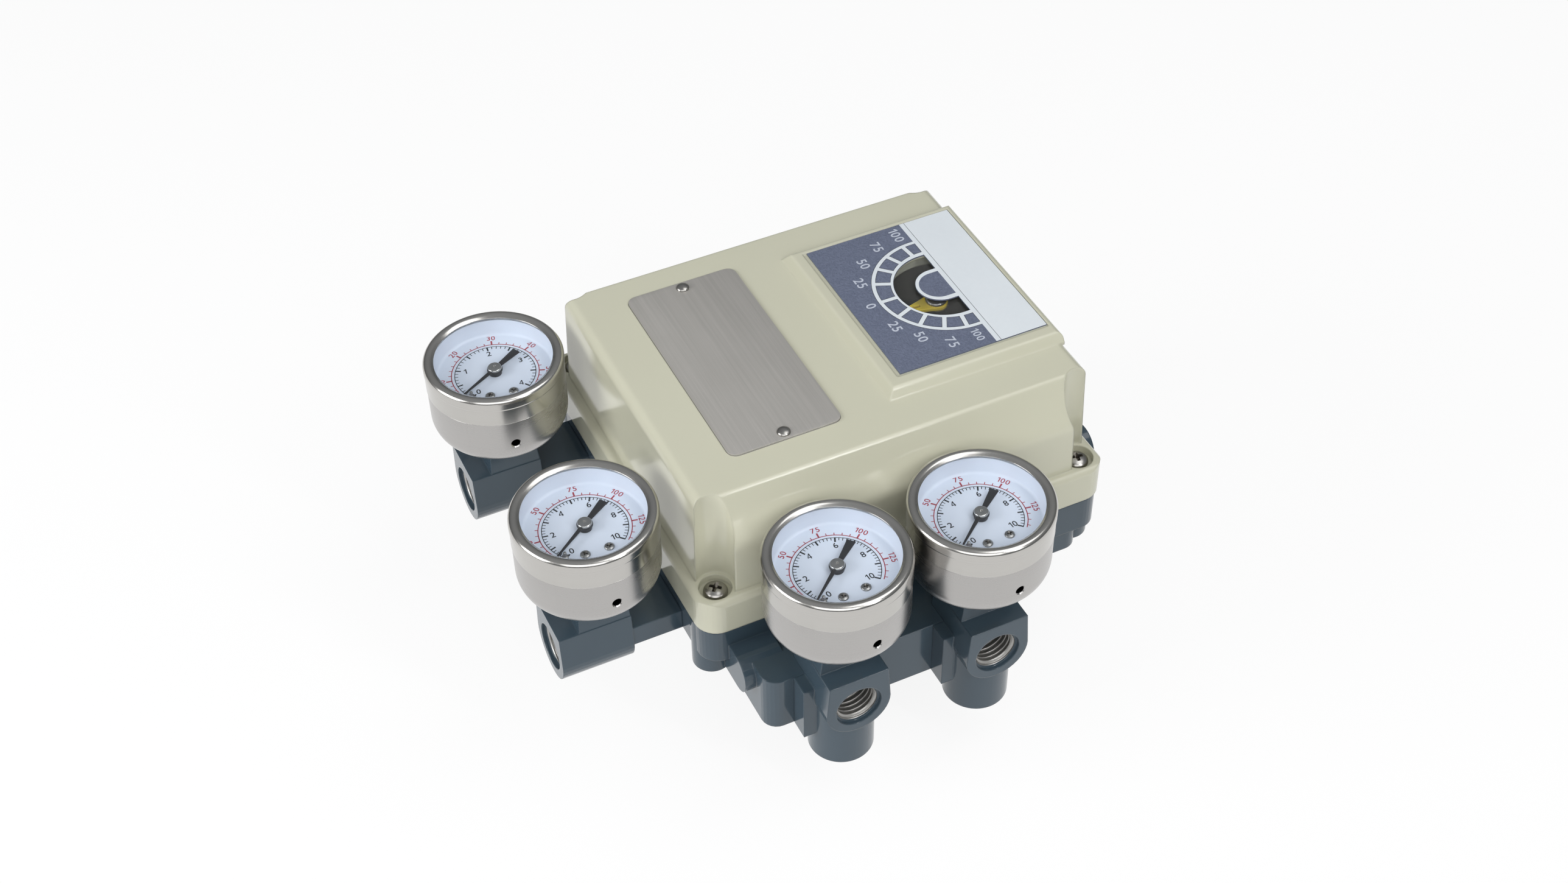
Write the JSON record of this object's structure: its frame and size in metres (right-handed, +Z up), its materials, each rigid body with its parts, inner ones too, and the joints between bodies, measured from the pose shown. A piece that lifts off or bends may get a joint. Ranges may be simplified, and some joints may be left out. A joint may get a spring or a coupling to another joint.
{
  "type": "valve positioner",
  "caption": "Pneumatic rotary valve positioner: flat cast housing with a dial over its shaft, ported blocks on two sides with pressure gauges, and a cam feedback lever inside.",
  "frame": {"origin": "main shaft axis in the plane of the bottom mounting face", "axes": "+Z up through the dial, +X the way the output ports face, +Y from the supply ports to the dial end"},
  "size_m": [0.1635, 0.1937, 0.1024],
  "materials": {
    "cover_paint": "fine textured satin paint",
    "base_paint": "smooth gloss paint on a casting",
    "gasket": "matt",
    "steel": "machined",
    "dark_steel": "blackened",
    "bezel_steel": "spun, lightly brushed",
    "plate_metal": "brushed sheet",
    "brass": "machined",
    "aluminium": "machined",
    "clear_lens": "clear",
    "gauge_glass": "clear",
    "dial_print": "printed sheet",
    "dial_white": "printed white",
    "yellow_plastic": "matt",
    "black_plastic": "knurled",
    "pointer_black": "matt black"
  },
  "bodies": {
    "housing": {"base": "base_paint", "cover": "cover_paint", "cover_gasket": "gasket", "cover_screws": "steel", "dial_window": "clear_lens", "dial_plate": "dial_print", "name_plate": "plate_metal", "name_plate_rivets": "steel", "shaft_bush": "brass", "lever_post": "steel", "lever_clip": "dark_steel", "beam_bracket": "aluminium", "beam_pin": "steel", "signal_capsule": "aluminium", "nozzle": "brass", "pilot_block": "aluminium", "zero_post": "steel", "dial_fittings": "steel", "bourdon_tubes": "brass", "sup_gauge_case": "bezel_steel", "sup_gauge_stem": "brass", "sup_gauge_bezel": "bezel_steel", "sup_gauge_glass": "gauge_glass", "sup_gauge_dial": "dial_white", "sup_port_block": "base_paint", "sig_gauge_case": "bezel_steel", "sig_gauge_stem": "brass", "sig_gauge_bezel": "bezel_steel", "sig_gauge_glass": "gauge_glass", "sig_gauge_dial": "dial_white", "sig_port_block": "base_paint", "out1_gauge_case": "bezel_steel", "out1_gauge_stem": "brass", "out1_gauge_bezel": "bezel_steel", "out1_gauge_glass": "gauge_glass", "out1_gauge_dial": "dial_white", "out1_port_block": "base_paint", "out2_gauge_case": "bezel_steel", "out2_gauge_stem": "brass", "out2_gauge_bezel": "bezel_steel", "out2_gauge_glass": "gauge_glass", "out2_gauge_dial": "dial_white", "out2_port_block": "base_paint"},
    "shaft": {"main_shaft": "steel", "shaft_clip": "dark_steel", "position_pointer": "yellow_plastic", "pointer_screw": "steel", "cam": "steel", "cam_nut": "brass"},
    "lever": {"feedback_lever": "steel", "follower_pin": "steel", "feedback_spring": "dark_steel"},
    "roller": {"follower_roller": "brass"},
    "beam": {"balance_beam": "aluminium"},
    "spool": {"pilot_spool": "steel"},
    "zero": {"zero_wheel": "black_plastic"},
    "sup_needle": {"sup_gauge_pointer": "pointer_black"},
    "sig_needle": {"sig_gauge_pointer": "pointer_black"},
    "out1_needle": {"out1_gauge_pointer": "pointer_black"},
    "out2_needle": {"out2_gauge_pointer": "pointer_black"}
  },
  "joints": [
    {"name": "shaft_turn", "type": "hinge", "parent": "housing", "child": "shaft", "pos_m": [0, 0, 0], "axis": [0, 0, 1], "range_deg": [0, 90]},
    {"name": "lever_swing", "type": "hinge", "parent": "housing", "child": "lever", "pos_m": [-0.016, -0.03992, 0.0345], "axis": [0, 0, 1], "range_deg": [0, 7.2]},
    {"name": "roller_spin", "type": "hinge", "parent": "lever", "child": "roller", "pos_m": [-0.0135, 0, 0.03], "axis": [0, 0, 1], "continuous": true},
    {"name": "beam_rock", "type": "hinge", "parent": "housing", "child": "beam", "pos_m": [-0.002, -0.06382, 0.0345], "axis": [0, 1, 0], "range_deg": [-1, 1], "stiffness_Nm_per_rad": 0.2},
    {"name": "spool_slide", "type": "slide", "parent": "housing", "child": "spool", "axis": [1, 0, 0], "range_m": [-0.0015, 0.0015], "stiffness_N_per_m": 200},
    {"name": "zero_turn", "type": "hinge", "parent": "housing", "child": "zero", "pos_m": [0.034, -0.03, 0.027], "axis": [0, 0, 1], "continuous": true},
    {"name": "sup_needle_turn", "type": "hinge", "parent": "housing", "child": "sup_needle", "pos_m": [0.0341, -0.132, 0.073], "axis": [0, 0, -1], "range_deg": [0, 270]},
    {"name": "sig_needle_turn", "type": "hinge", "parent": "housing", "child": "sig_needle", "pos_m": [-0.0396, -0.132, 0.073], "axis": [0, 0, -1], "range_deg": [0, 270]},
    {"name": "out1_needle_turn", "type": "hinge", "parent": "housing", "child": "out1_needle", "pos_m": [0.0804, -0.0288, 0.073], "axis": [0, 0, -1], "range_deg": [0, 270]},
    {"name": "out2_needle_turn", "type": "hinge", "parent": "housing", "child": "out2_needle", "pos_m": [0.0804, -0.0748, 0.073], "axis": [0, 0, -1], "range_deg": [0, 270]}
  ],
  "couplings": [
    {"joint": "lever_swing", "follows": "shaft_turn", "ratio": 0.079629}
  ]
}
